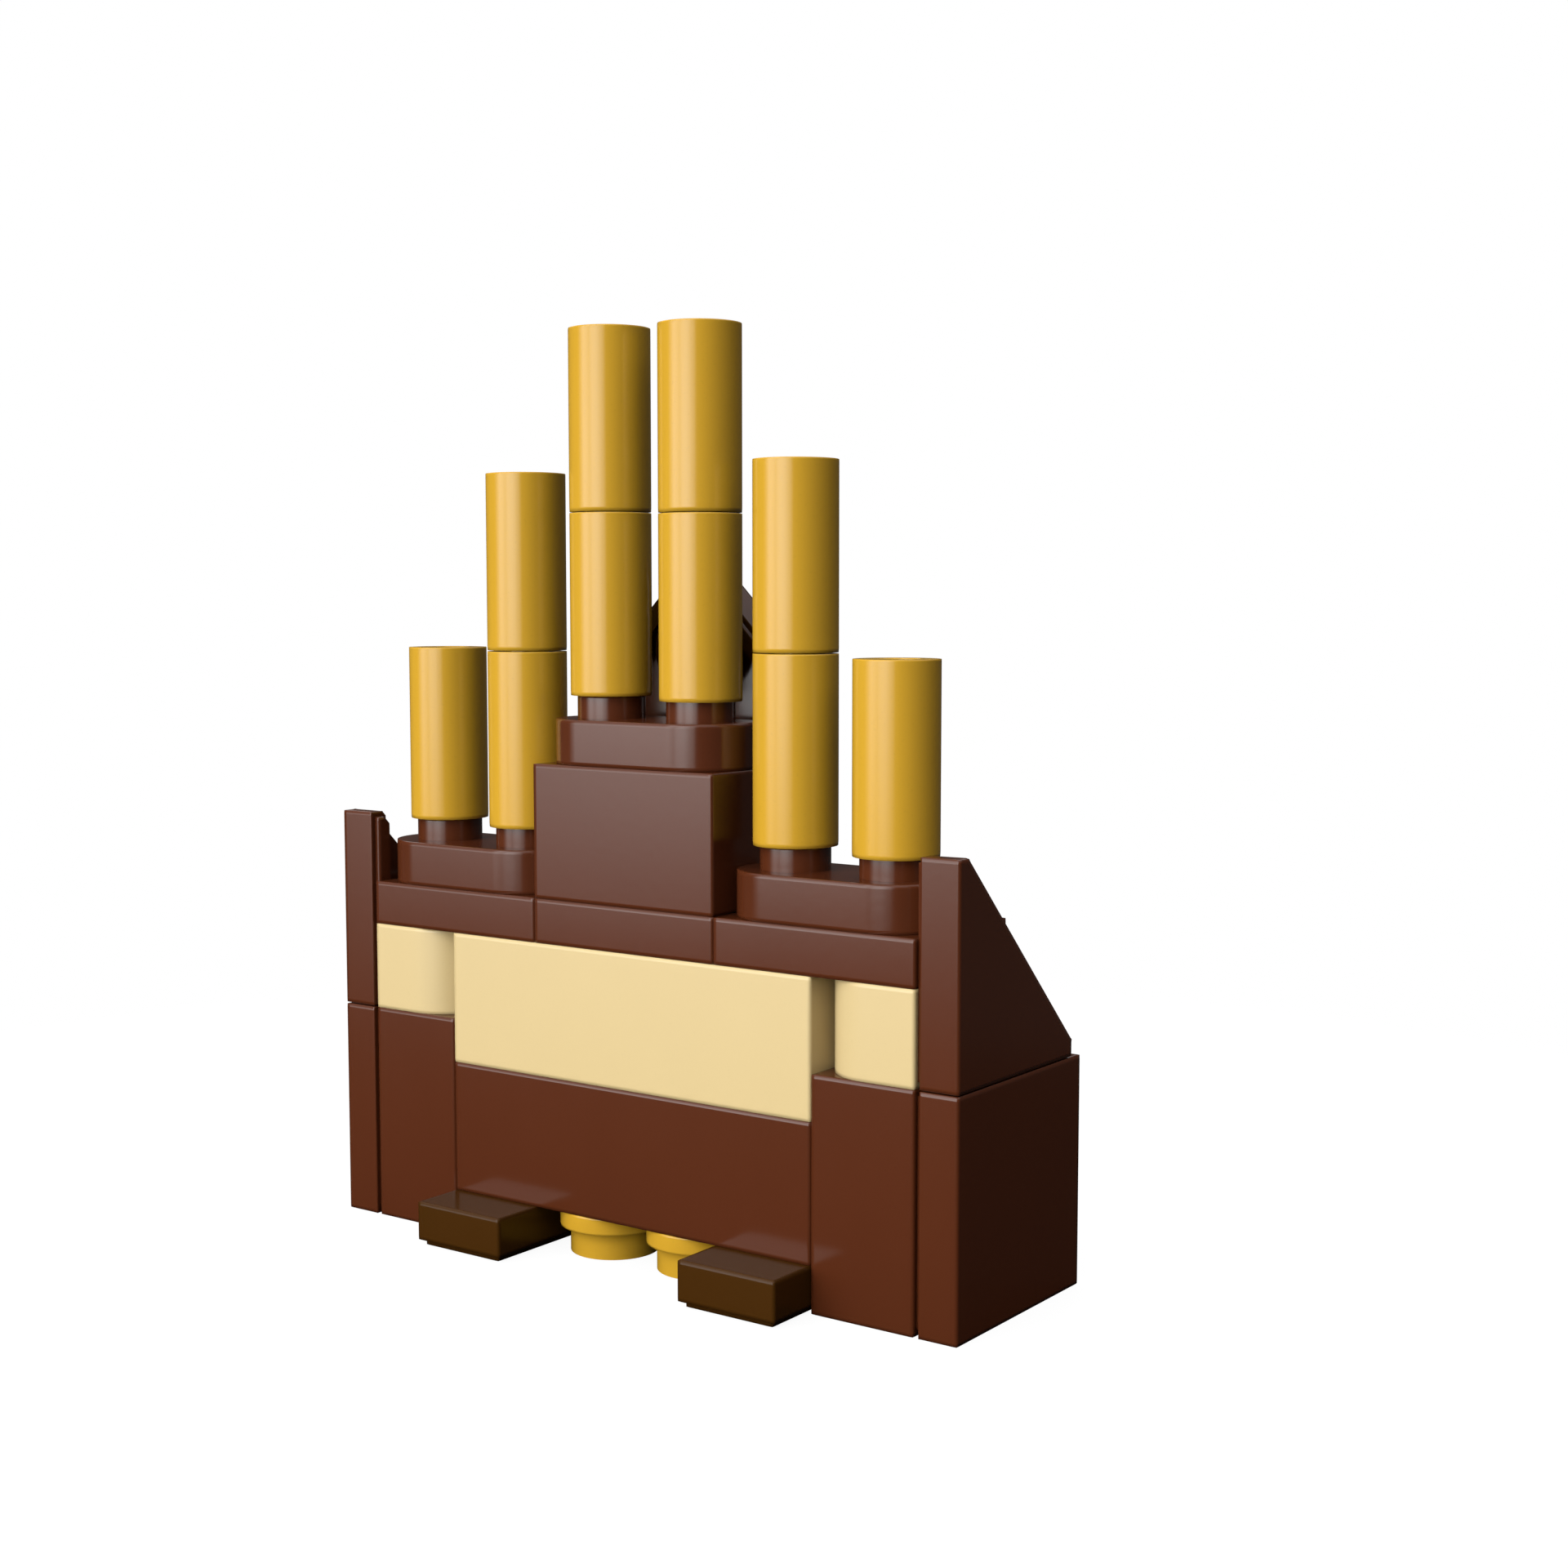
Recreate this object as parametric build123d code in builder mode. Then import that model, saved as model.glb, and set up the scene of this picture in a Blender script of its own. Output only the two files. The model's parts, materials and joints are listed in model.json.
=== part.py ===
from build123d import *
import os

# Toy pipe organ of interlocking bricks, in millimetres.
# +X is the viewer's right, +Y runs back from the front, +Z is up.
# The origin is under the middle of the whole model, on the surface that it stands on.

# Brick grid
pitch = 8.0  # from one stud to the next
plate = 3.2  # height of a plate; a brick is three plates
play = 0.05  # every side stops this short of its grid line, so neighbours show a fine seam
stud_radius = 2.4
stud_height = 1.6
roof = 1.5  # thickness over the hollow of a brick, plate or tile
wall = 1.5  # side walls round that hollow
pin_radius = 1.5  # pin between two studs, under a piece one stud wide
tube_radius = 3.2  # tube between four studs, under a piece two studs wide
tube_bore = 2.42
groove = 0.4  # step round the foot of a tile
stud_hole = 1.6  # bore of an open stud and of a pipe's head
covered_sides = 12  # flats on the studs, pins and tubes that other pieces cover

# Pipes
pipe_radius = 2.88
pipe_height = 4 * plate
pin_length = 3.0
pin_play = 0.03
head_depth = 3.4

# Where things stand
front = -6.0  # the front of the body; the two feet reach half a pitch further forward
row_y = front + pitch / 2  # the line that every stud of the body stands on
side_x = 3 * pitch - play  # the flat ends that the side panels seat on
back_y = front + pitch - play  # the flat back that the crest seats on

# Heights of the storeys
tan_z = 4 * plate
pillar_top = 5 * plate
ledge_z = tan_z + 3 * plate
shelf_z = ledge_z + plate
upper_shelf_z = shelf_z + 3 * plate

# Shapes of single pieces
flange_radius = 3.95
neck_radius = 3.2
neck_height = 1.95
rail_lip = 1.6
rail_floor = 1.2
rail_depth = 2 * rail_lip
triangle_nose = 1.2  # blunt ends of the triangle's two sharp corners
crest_foot = upper_shelf_z - pitch  # lower edge of the crest's grid, three pitches high
crest_drop = 1.15  # its point stops this short of the top of that grid

sides = {"left": -1, "right": 1}
parts = {}


def keep(name, builder):
    """Label a finished piece and remember it under its node's name."""
    builder.part.label = name
    parts[name] = builder.part


def covered(radius, mode=Mode.ADD):
    """Section of a round stud, pin or tube that other pieces cover, in few flats."""
    RegularPolygon(radius, covered_sides, mode=mode)


def footprint(x, studs, inset, rounded=False):
    """Outline on the body's row, its sides the given distance inside the grid."""
    length = studs * pitch - 2 * inset
    depth = pitch - 2 * inset
    with Locations((x, row_y)):
        if rounded:
            SlotOverall(length, depth)
        else:
            Rectangle(length, depth)


def brick(name, x, studs, bottom, height, rounded=False, open_studs=False, rail=False, back_studs=()):
    """A piece one stud deep on the body's row, hollow below, with studs on top."""
    stud_xs = [x + (i - (studs - 1) / 2) * pitch for i in range(studs)]
    gaps = [(left + pitch / 2, row_y) for left in stud_xs[:-1]]
    stud_places = [(stud_x, row_y) for stud_x in stud_xs]
    top = bottom + height
    with BuildPart() as piece:
        with BuildSketch(Plane.XY.offset(bottom)):
            footprint(x, studs, play, rounded)
        extrude(amount=height)
        if rail:
            half_length = studs * pitch / 2 - play
            with BuildSketch(Plane.YZ.offset(x - half_length)):
                with Locations((back_y, bottom)):
                    Rectangle(rail_depth, rail_floor, align=Align.MIN)
                with Locations((back_y + rail_depth - rail_lip, bottom)):
                    Rectangle(rail_lip, height, align=Align.MIN)
            extrude(amount=2 * half_length)
        with BuildSketch(Plane.XY.offset(bottom)):
            footprint(x, studs, play + wall, rounded)
            if gaps:
                with Locations(*gaps):
                    covered(pin_radius, Mode.SUBTRACT)
        extrude(amount=height - roof, mode=Mode.SUBTRACT)
        with BuildSketch(Plane.XY.offset(top)):
            with Locations(*stud_places):
                if open_studs:
                    Circle(stud_radius)
                else:
                    covered(stud_radius)
        extrude(amount=stud_height)
        if open_studs:
            with BuildSketch(Plane.XY.offset(top - roof)):
                with Locations(*stud_places):
                    Circle(stud_hole)
            extrude(amount=roof + stud_height, mode=Mode.SUBTRACT)
        if back_studs:
            with BuildSketch(Plane.XZ.offset(-back_y)):
                with Locations(*back_studs):
                    covered(stud_radius)
            extrude(amount=-stud_height)
    keep(name, piece)


# Floor row: two feet that reach forward, and two round plates between them
for name, side in sides.items():
    foot_x = side * 1.5 * pitch
    with BuildPart() as foot:
        with BuildSketch():
            with Locations((foot_x, row_y)):
                Rectangle(pitch - 2 * (play + groove), 2 * (pitch - play - groove))
        extrude(amount=groove)
        with BuildSketch(Plane.XY.offset(groove)):
            with Locations((foot_x, row_y)):
                Rectangle(pitch - 2 * play, 2 * (pitch - play))
        extrude(amount=plate - groove)
        with BuildSketch():
            with Locations((foot_x, row_y)):
                Rectangle(pitch - 2 * (play + wall), 2 * (pitch - play - wall))
                covered(pin_radius, Mode.SUBTRACT)
        extrude(amount=plate - roof, mode=Mode.SUBTRACT)
        with BuildSketch(Plane.XY.offset(plate)):
            with Locations((foot_x, row_y)):
                covered(stud_radius)
        extrude(amount=stud_height)
    keep(f"foot_{name}", foot)

    round_place = (side * 0.5 * pitch, row_y)
    with BuildPart() as round_plate:
        with BuildSketch():
            with Locations(round_place):
                Circle(neck_radius)
        extrude(amount=neck_height)
        with BuildSketch(Plane.XY.offset(neck_height)):
            with Locations(round_place):
                Circle(flange_radius)
        extrude(amount=plate - neck_height)
        with BuildSketch():
            with Locations(round_place):
                Circle(tube_bore)
        extrude(amount=plate - roof, mode=Mode.SUBTRACT)
        with BuildSketch(Plane.XY.offset(plate)):
            with Locations(round_place):
                covered(stud_radius)
        extrude(amount=stud_height)
    keep(f"round_plate_{name}", round_plate)

# Body: pillars at the ends, a brown and a tan brick between them
for name, side in sides.items():
    pillar_x = side * 2.5 * pitch
    with BuildPart() as pillar:
        with BuildSketch():
            footprint(pillar_x, 1, play)
        extrude(amount=pillar_top)
        with BuildSketch():
            footprint(pillar_x, 1, play + wall)
        extrude(amount=pillar_top - roof, mode=Mode.SUBTRACT)
        with BuildSketch(Plane.XY.offset(pillar_top)):
            with Locations((pillar_x, row_y)):
                covered(stud_radius)
        extrude(amount=stud_height)
        with BuildSketch(Plane.YZ.offset(side * side_x)):
            with Locations((row_y, 0.5 * pitch), (row_y, 1.5 * pitch)):
                covered(stud_radius)
        extrude(amount=side * stud_height)
    keep(f"pillar_{name}", pillar)

brick("lower_brick", 0, 4, plate, 3 * plate)
brick("tan_brick", 0, 4, tan_z, 3 * plate)

# Tan blocks above the pillars, half round towards the middle
for name, side in sides.items():
    end_x = side * 2.5 * pitch
    outer_radius = pitch / 2 - play
    inner_radius = outer_radius - wall
    with BuildPart() as tan_end:
        with BuildSketch(Plane.XY.offset(pillar_top)):
            with Locations((end_x, row_y)):
                Circle(outer_radius)
            with Locations((end_x + side * outer_radius / 2, row_y)):
                Rectangle(outer_radius, 2 * outer_radius)
        extrude(amount=2 * plate)
        with BuildSketch(Plane.XY.offset(pillar_top)):
            with Locations((end_x, row_y)):
                Circle(inner_radius)
            with Locations((end_x + side * inner_radius / 2, row_y)):
                Rectangle(inner_radius, 2 * inner_radius)
        extrude(amount=2 * plate - roof, mode=Mode.SUBTRACT)
        with BuildSketch(Plane.XY.offset(ledge_z)):
            with Locations((end_x, row_y)):
                covered(stud_radius)
        extrude(amount=stud_height)
        with BuildSketch(Plane.YZ.offset(side * side_x)):
            with Locations((row_y, pillar_top + pitch / 2)):
                covered(stud_radius)
        extrude(amount=side * stud_height)
    keep(f"tan_end_{name}", tan_end)

# Ledge of three plates, each with a rail along its back
brick("ledge_left", -2 * pitch, 2, ledge_z, plate, rail=True)
brick("ledge_middle", 0, 2, ledge_z, plate, rail=True)
brick("ledge_right", 2 * pitch, 2, ledge_z, plate, rail=True)

# Shelves with round ends and open studs, the middle one a brick higher
brick("shelf_left", -2 * pitch, 2, shelf_z, plate, rounded=True, open_studs=True)
brick("shelf_right", 2 * pitch, 2, shelf_z, plate, rounded=True, open_studs=True)
crest_stud_z = crest_foot + pitch / 2
crest_studs = [(-pitch / 2, crest_stud_z), (pitch / 2, crest_stud_z)]
brick("centre_block", 0, 2, shelf_z, 3 * plate, back_studs=crest_studs)
brick("shelf_middle", 0, 2, upper_shelf_z, plate, rounded=True, open_studs=True)


def pipe(name, x, bottom):
    """One gold pipe section: a barrel with a bored head, and a pin below."""
    with BuildPart() as section:
        with BuildSketch(Plane.XY.offset(bottom)):
            with Locations((x, row_y)):
                Circle(pipe_radius)
        extrude(amount=pipe_height)
        with BuildSketch(Plane.XY.offset(bottom - pin_length)):
            with Locations((x, row_y)):
                covered(stud_hole - pin_play)
        extrude(amount=pin_length)
        with BuildSketch(Plane.XY.offset(bottom + pipe_height)):
            with Locations((x, row_y)):
                Circle(stud_hole)
        extrude(amount=-head_depth, mode=Mode.SUBTRACT)
    keep(name, section)


wing_pipe_z = shelf_z + plate + stud_height
centre_pipe_z = upper_shelf_z + plate + stud_height
for name, side in sides.items():
    pipe(f"pipe_{name}_outer", side * 2.5 * pitch, wing_pipe_z)
    pipe(f"pipe_{name}_inner_lower", side * 1.5 * pitch, wing_pipe_z)
    pipe(f"pipe_{name}_inner_upper", side * 1.5 * pitch, wing_pipe_z + pipe_height)
    pipe(f"pipe_{name}_centre_lower", side * 0.5 * pitch, centre_pipe_z)
    pipe(f"pipe_{name}_centre_upper", side * 0.5 * pitch, centre_pipe_z + pipe_height)


def outline(corners, inset=0):
    """Face inside a closed run of corners, with every side moved inwards."""
    with BuildSketch() as face:
        with BuildLine():
            Polyline(*corners, close=True)
        make_face()
        if inset:
            offset(amount=-inset, kind=Kind.INTERSECTION, mode=Mode.REPLACE)
    return face.sketch


# Side panels: a square tile below and a triangular one above, both hung on studs
triangle_low = pillar_top + play
triangle_high = pillar_top + 2 * pitch - triangle_nose
triangle_front = front + play
triangle_back = front + 2 * pitch - triangle_nose
triangle_corners = [
    (triangle_front, triangle_low),
    (triangle_front, triangle_high),
    (front + triangle_nose, triangle_high),
    (triangle_back, pillar_top + triangle_nose),
    (triangle_back, triangle_low),
]
hollow_corner = (triangle_front + wall, triangle_low + wall)  # the hollow runs out through the slope
hollow_corners = [
    hollow_corner,
    (hollow_corner[0], hollow_corner[1] + 2 * pitch),
    (hollow_corner[0] + 2 * pitch, hollow_corner[1]),
]
triangle_face = outline(triangle_corners)
triangle_step = outline(triangle_corners, groove)
triangle_hollow = outline(hollow_corners)
square_place = (front + pitch, pitch)
for name, side in sides.items():
    seat = Plane.YZ.offset(side * side_x)
    above_step = Plane.YZ.offset(side * (side_x + groove))
    with BuildPart() as side_tile:
        with BuildSketch(seat):
            with Locations(square_place):
                Rectangle(2 * (pitch - play - groove), 2 * (pitch - play - groove))
        extrude(amount=side * groove)
        with BuildSketch(above_step):
            with Locations(square_place):
                Rectangle(2 * (pitch - play), 2 * (pitch - play))
        extrude(amount=side * (plate - groove))
        with BuildSketch(seat):
            with Locations(square_place):
                Rectangle(2 * (pitch - play - wall), 2 * (pitch - play - wall))
                covered(tube_radius, Mode.SUBTRACT)
                covered(tube_bore)
        extrude(amount=side * (plate - roof), mode=Mode.SUBTRACT)
    keep(f"side_tile_{name}", side_tile)

    with BuildPart() as triangle:
        with BuildSketch(seat):
            add(triangle_step)
        extrude(amount=side * groove)
        with BuildSketch(above_step):
            add(triangle_face)
        extrude(amount=side * (plate - groove))
        with BuildSketch(seat):
            add(triangle_hollow)
        extrude(amount=side * (plate - roof), mode=Mode.SUBTRACT)
    keep(f"side_triangle_{name}", triangle)

# Crest: a five-sided tile upright on the back of the centre block, its point above the shelf
half_width = pitch - play
crest_point = crest_foot + 3 * pitch - crest_drop
crest_corners = [
    (-half_width, crest_foot + play),
    (-half_width, crest_point - half_width),
    (0, crest_point),
    (half_width, crest_point - half_width),
    (half_width, crest_foot + play),
]
crest_face = outline(crest_corners)
crest_step = outline(crest_corners, groove)
crest_hollow = outline(crest_corners, wall)
with BuildPart() as crest:
    with BuildSketch(Plane.XZ.offset(-back_y)):
        add(crest_step)
    extrude(amount=-groove)
    with BuildSketch(Plane.XZ.offset(-back_y - groove)):
        add(crest_face)
    extrude(amount=groove - plate)
    with BuildSketch(Plane.XZ.offset(-back_y)):
        add(crest_hollow)
        with Locations((0, crest_foot + pitch), (0, crest_foot + 2 * pitch)):
            Circle(tube_radius, mode=Mode.SUBTRACT)
            Circle(tube_bore)
    extrude(amount=roof - plate, mode=Mode.SUBTRACT)
keep("crest", crest)

os.makedirs("parts", exist_ok=True)
for name, piece in parts.items():
    export_step(piece, f"parts/{name}.step")
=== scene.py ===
import json
import math

import bmesh
import bpy
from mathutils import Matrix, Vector


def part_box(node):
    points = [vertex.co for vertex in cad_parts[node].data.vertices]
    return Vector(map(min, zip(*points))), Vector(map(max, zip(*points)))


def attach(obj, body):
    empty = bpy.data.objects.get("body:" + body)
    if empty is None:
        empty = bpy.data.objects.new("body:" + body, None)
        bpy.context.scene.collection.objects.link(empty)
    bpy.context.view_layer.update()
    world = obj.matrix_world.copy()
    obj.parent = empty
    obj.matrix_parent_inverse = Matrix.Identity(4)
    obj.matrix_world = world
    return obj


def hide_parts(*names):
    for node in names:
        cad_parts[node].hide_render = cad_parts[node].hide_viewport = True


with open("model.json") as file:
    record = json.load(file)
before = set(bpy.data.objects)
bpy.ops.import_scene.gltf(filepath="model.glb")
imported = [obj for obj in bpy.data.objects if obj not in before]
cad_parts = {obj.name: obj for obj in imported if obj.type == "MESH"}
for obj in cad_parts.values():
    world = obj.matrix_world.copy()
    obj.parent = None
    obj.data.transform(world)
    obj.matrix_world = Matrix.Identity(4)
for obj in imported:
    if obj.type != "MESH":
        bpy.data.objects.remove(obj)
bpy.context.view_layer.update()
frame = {"nodes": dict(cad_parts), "record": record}
mm = 0.001  # sizes below are in millimetres where a value is multiplied by this


# Small helpers

def deselectAll():
    bpy.ops.object.select_all(action="DESELECT")


def makeActive(thing):
    deselectAll()
    thing.select_set(True)
    bpy.context.view_layer.objects.active = thing


def addNode(tree, kind, inputs=None, **settings):
    node = tree.nodes.new(kind)
    for setting, value in settings.items():
        setattr(node, setting, value)
    for socket, value in (inputs or {}).items():
        if isinstance(value, bpy.types.NodeSocket):
            tree.links.new(value, node.inputs[socket])
        else:
            node.inputs[socket].default_value = value
    return node


def addMath(tree, operation, first, second=0.0, clamp=False):
    node = addNode(tree, "ShaderNodeMath", {0: first, 1: second}, operation=operation, use_clamp=clamp)
    return node.outputs[0]


def grey(level):
    return (level, level, level, 1.0)


# Light: a broad two-tone key from the front left, a dim ceiling, a fill from behind on the left

studio = {
    "keyRadiance": 5.12,
    # share of the key by direction, in degrees from the front towards the right
    "keyAcross": [(-57, 0.0), (-46, 0.4), (-43, 0.6), (-41, 0.76), (-37, 0.86), (-26, 0.82), (-19, 0.62),
                  (-12, 0.95), (-6, 1.0), (5, 1.0), (11, 0.8), (15, 0.6), (20, 0.54), (24, 0.37),
                  (27, 0.1), (29, 0.0)],
    # share of the key by height above the horizon, in degrees
    "keyUpwards": [(-11, 0.0), (-9, 0.07), (-8, 0.155), (-6.4, 0.37), (-4, 0.63), (-1, 0.82), (4, 1.0),
                   (8, 0.87), (14, 0.68), (45, 0.68), (60, 0.0)],
    "ceilingRadiance": 0.75,
    "ceilingUpwards": [(28, 0.0), (48, 1.0), (90, 1.0)],
    "fillRadiance": 1.4,
    "fillAcross": [(-178, 0.0), (-165, 1.0), (-110, 1.0), (-92, 0.0)],
    "fillUpwards": [(20, 0.0), (32, 1.0), (50, 1.0), (60, 0.0)],
    "ambient": 0.045,
    "backdrop": 1.0,  # plain white to the camera
}
halfTurn = 180.0
fullTurn = 360.0


def degreesRamp(tree, degrees, stops):
    # a run of straight lines through the stops, over the whole circle of directions
    share = addMath(tree, "DIVIDE", addMath(tree, "ADD", degrees, halfTurn), fullTurn)
    ramp = addNode(tree, "ShaderNodeValToRGB", {0: share})
    places = ramp.color_ramp.elements
    while len(places) < len(stops):
        places.new(1.0)
    for place, (angle, level) in zip(places, stops):
        place.position = (angle + halfTurn) / fullTurn
        place.color = grey(level)
    return ramp.outputs[0]


def makeWorld():
    world = bpy.data.worlds.new("studioLight")
    bpy.context.scene.world = world
    world.use_nodes = True
    tree = world.node_tree
    tree.nodes.clear()
    direction = addNode(tree, "ShaderNodeTexCoord").outputs["Generated"]
    split = addNode(tree, "ShaderNodeSeparateXYZ", {0: direction}).outputs
    towardsFront = addMath(tree, "MULTIPLY", split["Y"], -1.0)
    across = addMath(tree, "DEGREES", addMath(tree, "ARCTAN2", split["X"], towardsFront))
    upwards = addMath(tree, "DEGREES", addMath(tree, "ARCSINE", split["Z"]))

    def lamp(radiance, upwardStops, acrossStops=None):
        share = degreesRamp(tree, upwards, upwardStops)
        if acrossStops:
            share = addMath(tree, "MULTIPLY", share, degreesRamp(tree, across, acrossStops))
        return addMath(tree, "MULTIPLY", share, radiance)

    key = lamp(studio["keyRadiance"], studio["keyUpwards"], studio["keyAcross"])
    ceiling = lamp(studio["ceilingRadiance"], studio["ceilingUpwards"])
    fill = lamp(studio["fillRadiance"], studio["fillUpwards"], studio["fillAcross"])
    fromFront = addMath(tree, "ADD", key, ceiling)
    fromBehind = addMath(tree, "ADD", fill, studio["ambient"])
    lit = addMath(tree, "ADD", fromFront, fromBehind)

    rays = addNode(tree, "ShaderNodeLightPath").outputs
    seen = addMath(tree, "ADD", rays["Is Camera Ray"], rays["Is Transmission Ray"], clamp=True)
    # sockets of a Mix node for numbers: 0 is the factor, 2 and 3 are the two values
    strength = addNode(tree, "ShaderNodeMix", {0: seen, 2: lit, 3: studio["backdrop"]}, data_type="FLOAT")
    background = addNode(tree, "ShaderNodeBackground", {"Color": grey(1.0), "Strength": strength.outputs[0]})
    output = addNode(tree, "ShaderNodeOutputWorld")
    tree.links.new(background.outputs[0], output.inputs["Surface"])


# Camera: at the photograph's viewing angle

cameraSetup = {
    "place": (96.13, -120.52, 47.04),
    "turn": 35.675,  # degrees to the left of straight back
    "dip": 4.94,  # degrees below the horizon
    "lens": 50.1,
    "sensor": 36.0,
    "nearest": 5.0,
    "farthest": 20000.0,
}


def makeCamera():
    place = Vector(cameraSetup["place"]) * mm
    angles = (math.radians(90 - cameraSetup["dip"]), 0, math.radians(cameraSetup["turn"]))
    bpy.ops.object.camera_add(location=place, rotation=angles)
    camera = bpy.context.object
    camera.name = "viewer"
    camera.data.sensor_width = cameraSetup["sensor"]
    camera.data.lens = cameraSetup["lens"]
    camera.data.clip_start = cameraSetup["nearest"] * mm
    camera.data.clip_end = cameraSetup["farthest"] * mm
    bpy.context.scene.camera = camera


# Floor: a pale disc that fades out at its rim

floorSetup = {
    "radius": 114.0,
    "fadeFrom": 86.0,
    "rimPoints": 96,
    "colour": 0.02,  # as the pieces see it
    "glow": 0.93,  # as the camera sees it: a nearly white glow, on a coat that takes the shadow
    "glowColour": 0.13,
}


def makeFloor():
    deselectAll()
    radius = floorSetup["radius"] * mm
    bpy.ops.mesh.primitive_circle_add(vertices=floorSetup["rimPoints"], radius=radius, fill_type="NGON")
    floor = bpy.context.object
    floor.name = "floor"
    paint = bpy.data.materials.new("paleFloor")
    paint.use_nodes = True
    tree = paint.node_tree
    tree.nodes.clear()
    rays = addNode(tree, "ShaderNodeLightPath").outputs
    place = addNode(tree, "ShaderNodeTexCoord").outputs["Object"]
    outwards = addNode(tree, "ShaderNodeVectorMath", {0: place}, operation="LENGTH").outputs["Value"]
    there = addNode(tree, "ShaderNodeMapRange", {
        "Value": outwards, "From Min": radius, "From Max": floorSetup["fadeFrom"] * mm,
    }, interpolation_type="SMOOTHSTEP").outputs[0]
    dull = addNode(tree, "ShaderNodeBsdfDiffuse", {"Color": grey(floorSetup["colour"])}).outputs[0]
    shade = addNode(tree, "ShaderNodeBsdfDiffuse", {"Color": grey(floorSetup["glowColour"])}).outputs[0]
    glow = addNode(tree, "ShaderNodeEmission", {"Strength": floorSetup["glow"]}).outputs[0]
    pale = addNode(tree, "ShaderNodeAddShader", {0: shade, 1: glow}).outputs[0]
    seen = addNode(tree, "ShaderNodeMixShader", {0: rays["Is Camera Ray"], 1: dull, 2: pale}).outputs[0]
    clear = addNode(tree, "ShaderNodeBsdfTransparent").outputs[0]
    faded = addNode(tree, "ShaderNodeMixShader", {0: there, 1: clear, 2: seen}).outputs[0]
    output = addNode(tree, "ShaderNodeOutputMaterial")
    tree.links.new(faded, output.inputs["Surface"])
    floor.data.materials.append(paint)


# Finishes: glossy moulded plastic, four colours

# faint flow marks, fine specks, hairline scratches and the ripple of a moulded face:
# how many to the metre, how fine, and how much closer they lie along X, Y and Z
marks = {
    "flow": {"perMetre": 180.0, "detail": 3.0, "closer": (1, 1, 0.5)},
    "speck": {"perMetre": 5200.0, "detail": 1.0, "closer": (1, 1, 1), "from": 0.62, "full": 0.76},
    "levelScratch": {"perMetre": 900.0, "detail": 2.0, "closer": (1, 1, 14)},
    "uprightScratch": {"perMetre": 700.0, "detail": 2.0, "closer": (12, 9, 1)},
    "scratch": {"from": 0.6, "full": 0.75, "depth": 0.15},  # depth as a share of the ripple's
    "ripple": {"perMetre": 1500.0, "detail": 2.0, "closer": (1, 1, 1)},
    "noiseRoughness": 0.55,
    "noiseMiddle": 0.5,
}


def makeMouldedGroup():
    tree = bpy.data.node_groups.new("mouldedSurface", "ShaderNodeTree")
    sockets = [
        ("INPUT", "Colour", "NodeSocketColor"),
        ("INPUT", "Flow", "NodeSocketFloat"),
        ("INPUT", "Specks", "NodeSocketFloat"),
        ("INPUT", "Gloss Roughness", "NodeSocketFloat"),
        ("INPUT", "Scuffs", "NodeSocketFloat"),
        ("OUTPUT", "Colour", "NodeSocketColor"),
        ("OUTPUT", "Roughness", "NodeSocketFloat"),
        ("OUTPUT", "Height", "NodeSocketFloat"),
    ]
    for side, label, kind in sockets:
        tree.interface.new_socket(name=label, in_out=side, socket_type=kind)
    given = addNode(tree, "NodeGroupInput").outputs
    place = addNode(tree, "ShaderNodeTexCoord").outputs["Object"]

    def noise(mark):
        spread = addNode(tree, "ShaderNodeMapping", {"Vector": place, "Scale": mark["closer"]})
        return addNode(tree, "ShaderNodeTexNoise", {
            "Vector": spread.outputs[0], "Scale": mark["perMetre"], "Detail": mark["detail"],
            "Roughness": marks["noiseRoughness"],
        }).outputs["Fac"]

    def above(mark, level):
        return addNode(tree, "ShaderNodeMapRange", {
            "Value": level, "From Min": mark["from"], "From Max": mark["full"],
        }).outputs[0]

    flow = addMath(tree, "SUBTRACT", noise(marks["flow"]), marks["noiseMiddle"])
    speck = above(marks["speck"], noise(marks["speck"]))
    levelScratch = noise(marks["levelScratch"])
    uprightScratch = noise(marks["uprightScratch"])
    scratch = above(marks["scratch"], addMath(tree, "MAXIMUM", levelScratch, uprightScratch))

    streaked = addMath(tree, "ADD", 1.0, addMath(tree, "MULTIPLY", flow, given["Flow"]))
    brightness = addMath(tree, "SUBTRACT", streaked, addMath(tree, "MULTIPLY", speck, given["Specks"]))
    tinted = addNode(tree, "ShaderNodeVectorMath", {
        0: given["Colour"], "Scale": brightness,
    }, operation="SCALE")
    scuffed = addMath(tree, "MULTIPLY", scratch, given["Scuffs"])
    scuffed = addMath(tree, "ADD", given["Gloss Roughness"], scuffed)
    roughness = addMath(tree, "ADD", scuffed, addMath(tree, "MULTIPLY", flow, given["Scuffs"]))
    ripple = noise(marks["ripple"])
    height = addMath(tree, "SUBTRACT", ripple, addMath(tree, "MULTIPLY", scratch, marks["scratch"]["depth"]))
    result = addNode(tree, "NodeGroupOutput")
    tree.links.new(tinted.outputs[0], result.inputs["Colour"])
    tree.links.new(roughness, result.inputs["Roughness"])
    tree.links.new(height, result.inputs["Height"])
    return tree


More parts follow.
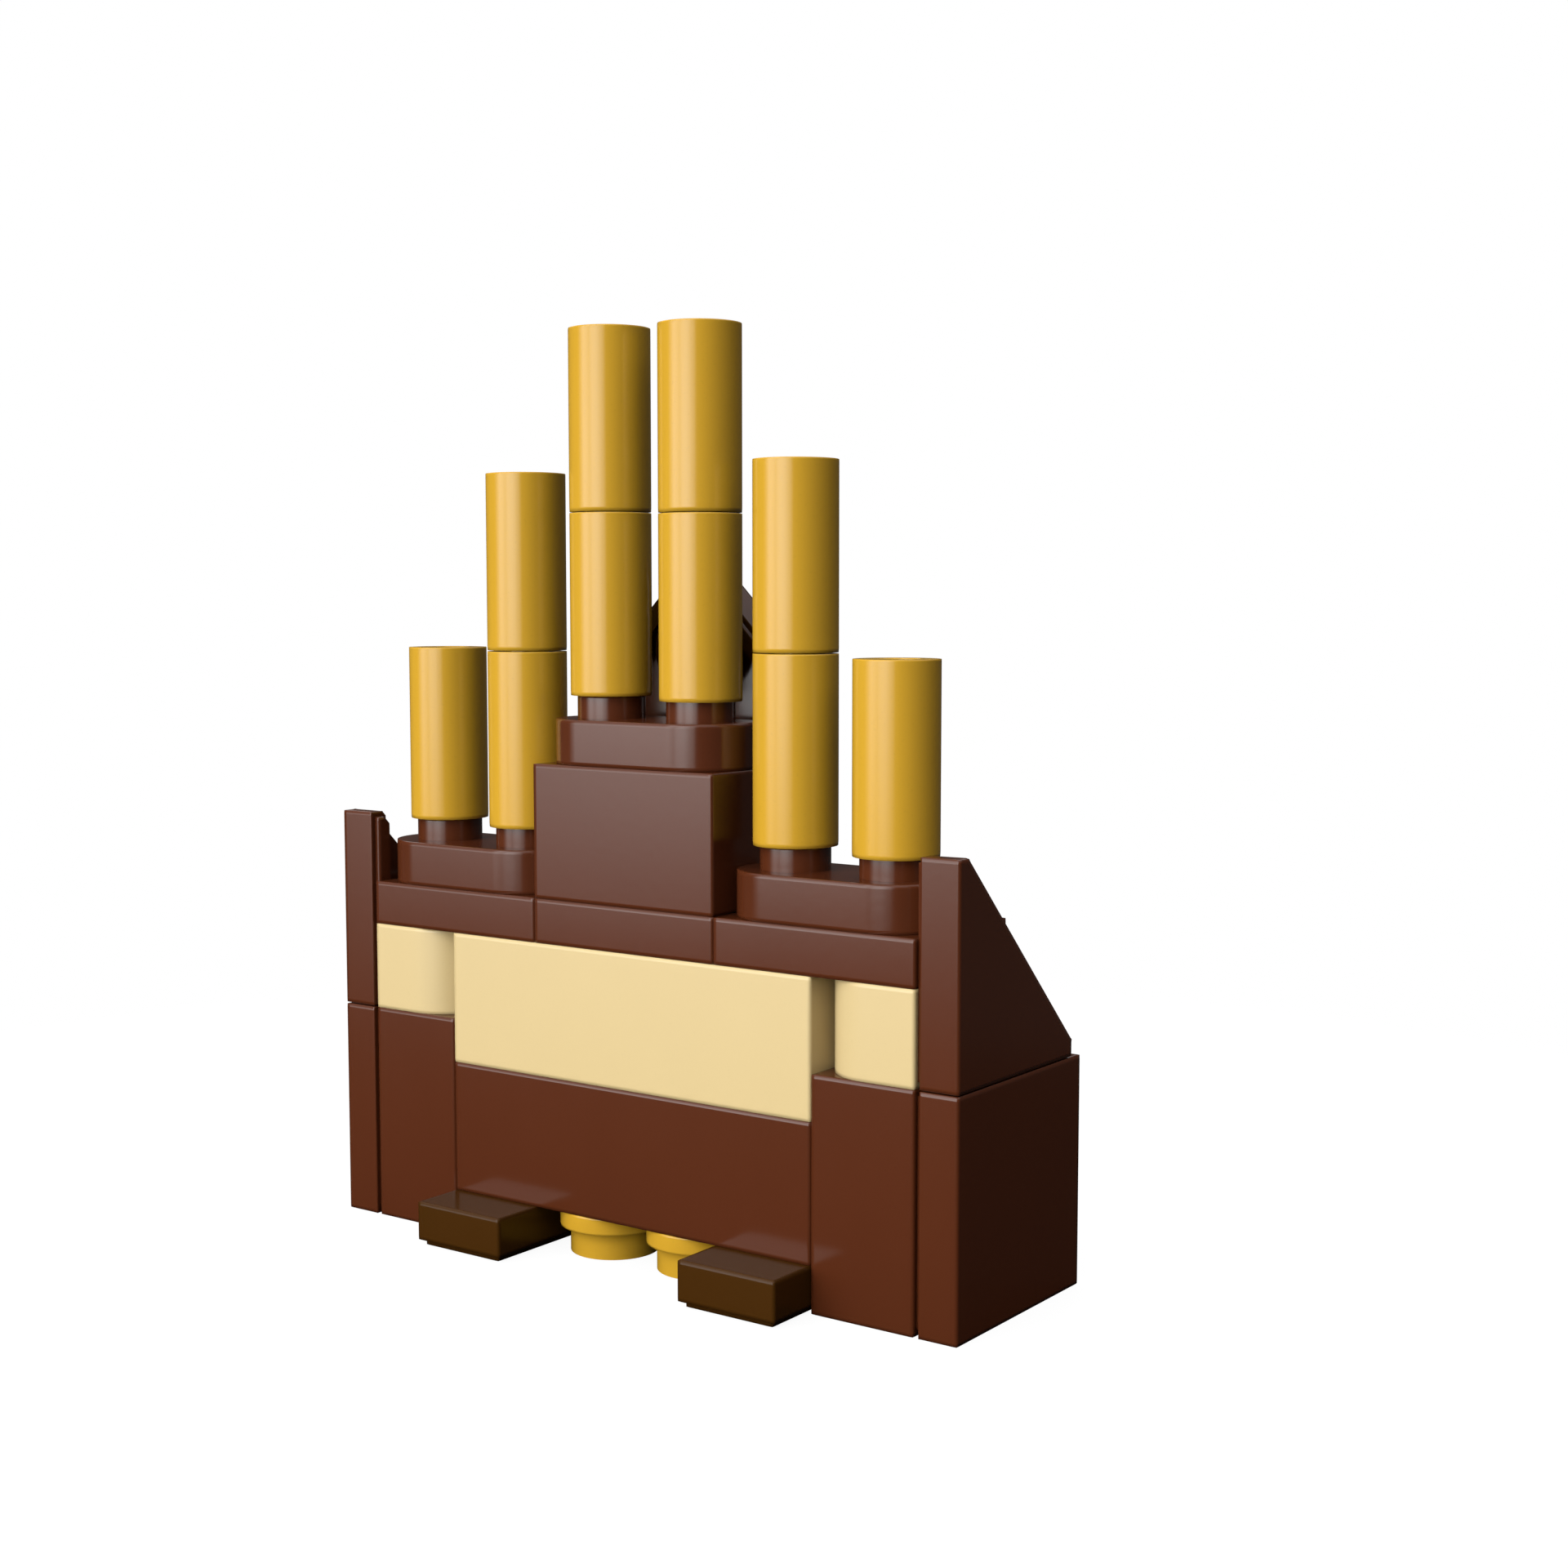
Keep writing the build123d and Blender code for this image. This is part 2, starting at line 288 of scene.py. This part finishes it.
# "thrown" is the share of its colour that a piece throws on its neighbours; below 1 it is painted shade,
# dimming the bounced light so the shade between pieces is deeper
plastics = {
    "reddish_brown": {"colour": (0.112, 0.028, 0.0095), "flow": 0.08, "specks": 0.06, "roughness": 0.165,
                      "scuffs": 0.03, "shine": 0.5, "thrown": 0.45},
    "dark_brown": {"colour": (0.071, 0.0265, 0.0035), "flow": 0.08, "specks": 0.06, "roughness": 0.22,
                   "scuffs": 0.03, "shine": 0.2, "thrown": 0.45},
    "tan": {"colour": (0.83, 0.64, 0.317), "flow": 0.03, "specks": 0.02, "roughness": 0.24,
            "scuffs": 0.02, "shine": 0.5, "thrown": 0.5},
    "gold": {"colour": (0.77, 0.43, 0.033), "flow": 0.05, "specks": 0.04, "roughness": 0.16,
             "scuffs": 0.03, "shine": 0.5, "thrown": 0.0},
}
rippleHeight = 0.0022  # orange-peel ripple of a moulded face
refraction = 1.52  # index of the glossy plastic


def makePlastic(slot, moulded):
    look = plastics[slot]
    material = bpy.data.materials.new(f"{slot}_plastic")
    material.use_nodes = True
    tree = material.node_tree
    shader = tree.nodes["Principled BSDF"]
    surface = addNode(tree, "ShaderNodeGroup", {
        "Colour": look["colour"] + (1.0,), "Flow": look["flow"], "Specks": look["specks"],
        "Gloss Roughness": look["roughness"], "Scuffs": look["scuffs"],
    }, node_tree=moulded).outputs
    bump = addNode(tree, "ShaderNodeBump", {
        "Height": surface["Height"], "Strength": 1.0, "Distance": rippleHeight * mm,
    })
    # painted shade: in bounced light the colour is dimmed to its thrown share, which darkens the pieces
    # beside it
    rays = addNode(tree, "ShaderNodeLightPath").outputs
    kept = addMath(tree, "MULTIPLY", rays["Is Diffuse Ray"], 1 - look["thrown"])
    colour = addNode(tree, "ShaderNodeVectorMath", {
        0: surface["Colour"], "Scale": addMath(tree, "SUBTRACT", 1.0, kept),
    }, operation="SCALE")
    tree.links.new(colour.outputs[0], shader.inputs["Base Color"])
    tree.links.new(surface["Roughness"], shader.inputs["Roughness"])
    tree.links.new(bump.outputs[0], shader.inputs["Normal"])
    shader.inputs["IOR"].default_value = refraction
    shader.inputs["Specular IOR Level"].default_value = look["shine"]
    return material


# Pieces: each node's own shape, with the soft edges that moulding leaves

moulding = {
    "mergeWithin": 0.002,  # corners of the solid's loose triangles that are one
    "flatWithin": 0.5,  # degrees between two faces that lie in one plane
    "sharpFrom": 40.0,  # degrees between two faces, from which the edge between them is a sharp one
    "widest": 0.4,  # width of the rounding at an edge with the full bevel weight
    "segments": 2,
    "profile": 0.9,  # nearly square, so the outline keeps its corners
}
studs = {"pitch": 8.0, "rowY": -2.0}  # they stand at half a pitch from the middle and every pitch from there
closeTo = 0.01  # two heights closer than this are the same


def studDistance(place):
    # from the axis of the nearest stud, which pipes and round plates share
    nearestX = (math.floor(place.x / studs["pitch"]) + 0.5) * studs["pitch"]
    return math.hypot(place.x - nearestX, place.y - studs["rowY"])


def linesHollow(place, normals, centre):
    # one of the two faces at this edge looks back to the middle of the piece
    return any(normal.dot(place - centre) <= 0 for normal in normals)


# Widths of the rounding at each kind of edge. The shading turns over these, and the corner itself is cut
# by a hundredth of a millimetre or two. "Within" is a distance from the nearest stud's axis, and "Above"
# a height over the middle of the piece.

brickEdges = {
    "outer": 0.28,
    "stud": 0.15,
    "studWithin": 3.5,
    "sideX": 24.0,  # the studs beyond it are inside the panels
    "rimRise": 0.5,  # least sum of the upward parts of two faces at a stud's upper rim
}


def brickRounding(place, normals, centre):
    if abs(place.x) > brickEdges["sideX"] or linesHollow(place, normals, centre):
        return 0
    if studDistance(place) < brickEdges["studWithin"]:
        return brickEdges["stud"] if normals[0].z + normals[1].z > brickEdges["rimRise"] else 0
    return brickEdges["outer"]


shelfEdges = {
    "outer": 0.28,
    "stud": 0.15,
    "bore": 0.12,
    "boreWithin": 2.0,
    "studWithin": 3.0,
    "studAbove": 1.0,
}


def shelfRounding(place, normals, centre):
    outwards = studDistance(place)
    if outwards < shelfEdges["studWithin"]:
        kind = "bore" if outwards < shelfEdges["boreWithin"] else "stud"
        return shelfEdges[kind] if place.z > centre.z + shelfEdges["studAbove"] else 0
    return 0 if linesHollow(place, normals, centre) else shelfEdges["outer"]


pipeEdges = {
    "head": 0.12,
    "foot": 0.3,
    "bore": 0.12,
    "boreWithin": 2.5,
    "boreAbove": 5.0,  # the bore's rim in the head, and not the pin's edges
}


def pipeRounding(place, normals, centre):
    if studDistance(place) > pipeEdges["boreWithin"]:
        return pipeEdges["head"] if place.z > centre.z else pipeEdges["foot"]
    return pipeEdges["bore"] if place.z > centre.z + pipeEdges["boreAbove"] else 0


roundPlateEdges = {
    "flangeTop": 0.38,
    "flangeFoot": 0.16,
    "stud": 0.15,
    "studWithin": 3.5,
    "flangeAbove": 1.0,
    "studFromZ": 3.0,
}


def roundPlateRounding(place, normals, centre):
    if studDistance(place) > roundPlateEdges["studWithin"]:
        onTop = place.z > centre.z + roundPlateEdges["flangeAbove"]
        return roundPlateEdges["flangeTop" if onTop else "flangeFoot"]
    return roundPlateEdges["stud"] if place.z > roundPlateEdges["studFromZ"] else 0


panelEdges = {
    "outer": 0.28,
    "step": 0.12,  # beside the groove between a tile and its seat
    "seat": 0.24,  # of the narrower foot that hangs on the studs
    "sideSeatX": 24.0,
    "crestSeatY": 2.0,
    "stepWidth": 0.4,  # from the seat to the broad part of the tile
    "stepPlay": 0.05,  # how far past the step an edge still belongs to it
    "seatPlay": 0.1,  # and past the seat
    "facing": 0.9,  # least part of a face's normal along an axis that the face looks along
}


def tileRounding(place, normals, centre):
    if linesHollow(place, normals, centre):
        return 0
    fromSeat = abs(place.x) - panelEdges["sideSeatX"]
    facesAcross = max(abs(normal.x) for normal in normals) > panelEdges["facing"]
    if facesAcross and fromSeat < panelEdges["stepWidth"] + panelEdges["stepPlay"]:
        return panelEdges["seat" if fromSeat < panelEdges["seatPlay"] else "step"]
    return panelEdges["outer"]


def crestRounding(place, normals, centre):
    if linesHollow(place, normals, centre):
        return 0
    fromSeat = place.y - panelEdges["crestSeatY"]
    facesBack = max(abs(normal.y) for normal in normals) > panelEdges["facing"]
    if facesBack and fromSeat < panelEdges["stepWidth"] + panelEdges["stepPlay"]:
        return panelEdges["step"]
    return panelEdges["outer"]


# start of a node's name, and the rule for its edges: the first that fits holds
families = [
    ("shelf", shelfRounding),
    ("pipe", pipeRounding),
    ("round_plate", roundPlateRounding),
    ("side_", tileRounding),
    ("crest", crestRounding),
    ("", brickRounding),
]


# Pipes: the upper sections leave a fine seam, and three pipes stand a little lower than on their studs

pipeFit = {
    "pin": 3.0,  # length of the pin below a section
    "pinWithin": 2.0,  # reach of the ring round the pin's root
    "seam": 0.06,
    "recess": 1.2,  # depth of the hollow cone round the pin of a section that is lowered over its stud
    "sunk": {"pipe_left_inner": 0.2, "pipe_right_centre": 0.2, "pipe_right_outer": 0.22},
}


# Faces that stand a little further out than the solids' do: start of the node's name, axis,
# the span on it that moves, and the move
closerFit = [
    ("ledge", 1, (5.0, 6.0), (0, 0.3, 0)),
    ("side_tile_left", 0, (-28.0, -27.1), (-0.15, 0, 0)),
    ("side_triangle_left", 0, (-28.0, -27.1), (-0.15, 0, 0)),
    ("side_tile_right", 0, (27.1, 28.0), (0.05, 0, 0)),
    ("side_triangle_right", 0, (27.1, 28.0), (0.05, 0, 0)),
    ("side_tile", 1, (9.9, 10.0), (0, 0.05, 0)),
    ("side_tile", 2, (0.0, 0.1), (0, 0, -0.05)),
]


def shift(piece, chosen, move):
    # moves the chosen places of a piece in edit mode, in millimetres
    bpy.ops.mesh.select_mode(type="VERT")
    bpy.ops.mesh.select_all(action="DESELECT")
    drawn = bmesh.from_edit_mesh(piece.data)
    for vertex in drawn.verts:
        vertex.select = chosen(vertex.co / mm)
    bmesh.update_edit_mesh(piece.data)
    bpy.ops.transform.translate(value=Vector(move) * mm)


def copySolid(node):
    # the solid as one closed mesh with whole faces, left in edit mode
    piece = bpy.data.objects.new(f"{node}_moulded", frame["nodes"][node].data.copy())
    bpy.context.scene.collection.objects.link(piece)
    makeActive(piece)
    bpy.ops.object.mode_set(mode="EDIT")
    bpy.ops.mesh.select_all(action="SELECT")
    bpy.ops.mesh.customdata_custom_splitnormals_clear()
    bpy.ops.mesh.remove_doubles(threshold=moulding["mergeWithin"] * mm)
    bpy.ops.mesh.dissolve_limited(angle_limit=math.radians(moulding["flatWithin"]))
    return piece


def fitCloser(piece, node, footZ):
    if node.startswith("pipe") and node.endswith("upper"):
        shift(piece, lambda place: abs(place.z - footZ) < closeTo, (0, 0, pipeFit["seam"]))
    for start, axis, (low, high), move in closerFit:
        if node.startswith(start):
            shift(piece, lambda place: low < place[axis] < high, move)


def weighEdges(piece, choose, centre):
    # each sharp edge gets the bevel weight of its rounding, and one without a rounding stays sharp
    bpy.ops.mesh.select_mode(type="EDGE")
    edgesByRadius = {}
    drawn = bmesh.from_edit_mesh(piece.data)
    drawn.edges.ensure_lookup_table()
    for edge in drawn.edges:
        if len(edge.link_faces) != 2 or math.degrees(edge.calc_face_angle(0)) < moulding["sharpFrom"]:
            continue
        place = (edge.verts[0].co + edge.verts[1].co) / (2 * mm)
        radius = choose(place, [face.normal for face in edge.link_faces], centre) if edge.is_convex else 0
        edgesByRadius.setdefault(radius, []).append(edge.index)
    for radius, edges in edgesByRadius.items():
        bpy.ops.mesh.select_all(action="DESELECT")
        drawn = bmesh.from_edit_mesh(piece.data)
        drawn.edges.ensure_lookup_table()
        for index in edges:
            drawn.edges[index].select = True
        bmesh.update_edit_mesh(piece.data)
        if radius:
            bpy.ops.transform.edge_bevelweight(value=radius / moulding["widest"])
        else:
            bpy.ops.mesh.mark_sharp()


def roundEdges(piece):
    bevel = piece.modifiers.new("roundedEdges", "BEVEL")
    bevel.width = moulding["widest"] * mm
    bevel.segments = moulding["segments"]
    bevel.profile = moulding["profile"]
    bevel.limit_method = "WEIGHT"
    bevel.use_clamp_overlap = False
    bevel.loop_slide = False
    bpy.ops.object.modifier_apply(modifier=bevel.name)


def sinkPipe(piece, node, footZ):
    depth = next((depth for pipe, depth in pipeFit["sunk"].items() if node.startswith(pipe)), 0)
    if not depth:
        return
    bpy.ops.object.mode_set(mode="EDIT")
    if not node.endswith("upper"):
        ringWithin = pipeFit["pinWithin"]
        shift(piece, lambda place: abs(place.z - footZ) < closeTo and studDistance(place) < ringWithin,
              (0, 0, pipeFit["recess"]))
    shift(piece, lambda place: True, (0, 0, -depth))
    bpy.ops.object.mode_set(mode="OBJECT")


def smoothFaces(piece):
    bpy.ops.object.shade_smooth()
    flat = piece.modifiers.new("flatFaces", "WEIGHTED_NORMAL")
    flat.keep_sharp = True
    bpy.ops.object.modifier_apply(modifier=flat.name)


def makePiece(node, choose, material):
    boxLow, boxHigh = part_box(node)
    centre = (boxLow + boxHigh) / (2 * mm)
    footZ = boxLow.z / mm + pipeFit["pin"]  # where a pipe section stands on its stud
    piece = copySolid(node)
    fitCloser(piece, node, footZ)
    weighEdges(piece, choose, centre)
    bpy.ops.object.mode_set(mode="OBJECT")
    roundEdges(piece)
    sinkPipe(piece, node, footZ)
    smoothFaces(piece)
    piece.data.materials.clear()
    piece.data.materials.append(material)
    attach(piece, "root")
    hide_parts(node)
    return piece


def main():
    bpy.context.scene.view_settings.view_transform = "Standard"
    makeWorld()
    makeCamera()
    makeFloor()
    print("studio made")
    moulded = makeMouldedGroup()
    materials = {slot: makePlastic(slot, moulded) for slot in plastics}
    print("plastics made")
    slots = {row["node"]: row["material_slot"] for row in frame["record"]["subparts"]}
    for node in sorted(frame["nodes"]):
        choose = next(rule for start, rule in families if node.startswith(start))
        slot = slots[node]
        piece = makePiece(node, choose, materials[slot])
        print("made", piece.name, len(piece.data.polygons), "faces")


main()
